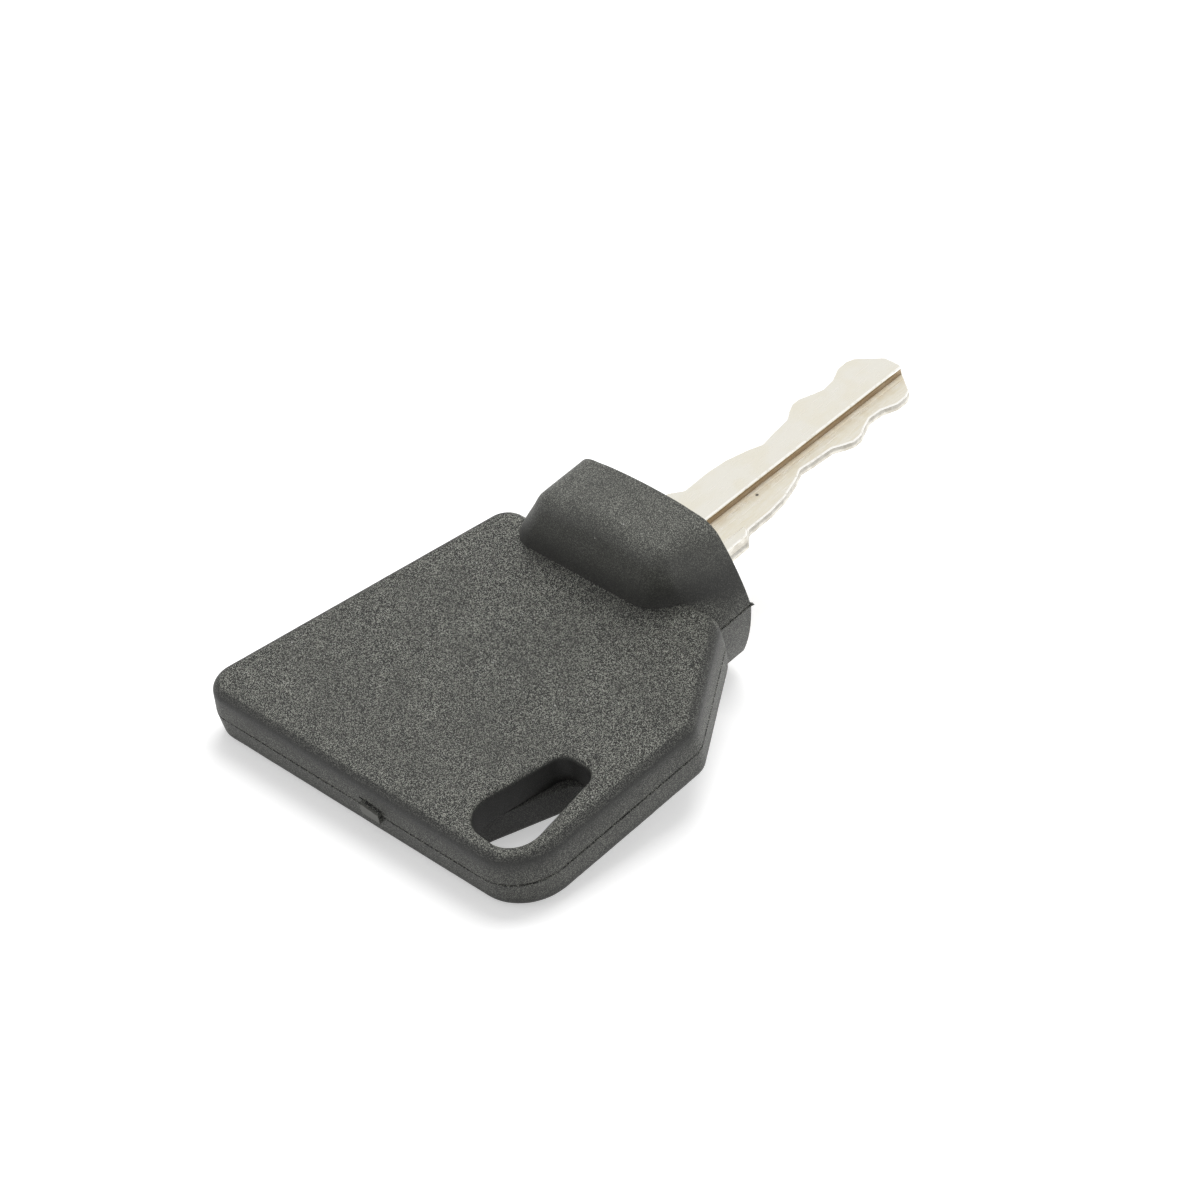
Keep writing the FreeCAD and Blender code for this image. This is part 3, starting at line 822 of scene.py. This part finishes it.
# worn edges, with a lighter colour that is a painted highlight
tree.links.new(blend(tree, fade(tree, wear, 0.3, 0.5), NICKEL, RUBBED_AND_PAINTED_HIGHLIGHT),
               shader.inputs["Base Color"])
shader.inputs["Metallic"].default_value = 1.0
shader.inputs["Roughness"].default_value = 0.2
stamping.data.materials.append(bright)
print("edges polished")

# %% [markdown]
# ## The table, the light and the camera
#
# The photograph is a plain product shot on white: soft light from above, a pale
# table that throws light back up, and no hard shadow. The table and the sky show
# white to the camera and in the metal, while the lamps stay at a plain level, so
# that the black plastic keeps its colour.


# %% The table
def white_rays(tree):
    """1 for the rays that have to meet plain white, and 0 for the light of the room."""
    ray = tree.nodes.new("ShaderNodeLightPath")
    seen = maths(tree, "MAXIMUM", ray.outputs["Is Camera Ray"], ray.outputs["Is Glossy Ray"])
    return maths(tree, "MAXIMUM", seen, ray.outputs["Is Transmission Ray"])


TABLE_GLOW = 0.45
bpy.ops.mesh.primitive_plane_add(size=3.0, location=(0, 0, 0))
table = bpy.context.object
table.name = "table"
paper, tree, shader = new_material("white_paper")
shader.inputs["Base Color"].default_value = (0.82, 0.82, 0.82, 1)
shader.inputs["Roughness"].default_value = 0.9
shader.inputs["Emission Color"].default_value = (1, 1, 1, 1)
tree.links.new(maths(tree, "MULTIPLY", white_rays(tree), TABLE_GLOW),
               shader.inputs["Emission Strength"])
table.data.materials.append(paper)
print("table ready")

# %% [markdown]
# The sky is full white for the same rays, and much dimmer where it lights the key.

# %% The sky
SKY_LIGHT = 0.42
world = bpy.data.worlds.new("studio")
bpy.context.scene.world = world
world.use_nodes = True
tree = world.node_tree
tree.nodes.clear()
strength = maths(tree, "MULTIPLY_ADD", white_rays(tree), 1.0 - SKY_LIGHT, SKY_LIGHT)
sky = add(tree, "ShaderNodeBackground", Color=(1, 1, 1, 1), Strength=strength)
out = tree.nodes.new("ShaderNodeOutputWorld")
tree.links.new(sky.outputs[0], out.inputs["Surface"])
print("sky ready")

# %% [markdown]
# Two soft lamps give the plastic its form: a wide one above, and a weaker one in
# front of the blade that brings out the collar's front edges and the plate's grain.


# %% The lamps
def soft_lamp(name, place, width, power):
    """A square lamp that looks at the key and doesn't show in the metal."""
    light = bpy.data.lights.new(name, "AREA")
    light.size = width
    light.energy = power
    lamp = bpy.data.objects.new(name, light)
    lamp.location = place
    lamp.rotation_euler = (-Vector(place)).to_track_quat("-Z", "Y").to_euler()
    lamp.visible_glossy = False
    bpy.context.scene.collection.objects.link(lamp)


soft_lamp("lamp_over", (-0.10, 0.22, 0.55), 0.40, 2.6)
soft_lamp("lamp_front", (0.12, 0.60, 0.22), 0.30, 1.25)
print("two lamps ready")

# %% [markdown]
# ### The camera
#
# The photographer stood behind and to the right of the grip, rather high, with a long
# lens, and the camera was turned a little about its own axis. The place and the two
# directions below come from fitting the key's outline to the photograph, and are
# written in the key's own axes, so they hold whatever slope the key rests at.

# %% Place the camera
CAMERA_PLACE = Vector((235.52, -174.24, 254.84))
CAMERA_BACK = Vector((0.612607, -0.434071, 0.660526))
CAMERA_UP = Vector((-0.380052, 0.570973, 0.727702))
FIELD = 1200 / 4624
turn = Matrix.Rotation(slope, 3, "X")
back = turn @ CAMERA_BACK
up = turn @ CAMERA_UP
view = bpy.data.cameras.new("photographer")
view.sensor_width = 36
view.lens = view.sensor_width / FIELD
view.clip_start = 0.01
view.clip_end = 20
camera = bpy.data.objects.new("photographer", view)
camera.matrix_world = Matrix.Translation(to_table @ CAMERA_PLACE) @ Matrix(
    (up.cross(back), up, back)).transposed().to_4x4()
bpy.context.scene.collection.objects.link(camera)
bpy.context.scene.camera = camera
bpy.context.scene.view_settings.view_transform = "Standard"
print("lens %.0f mm" % view.lens)
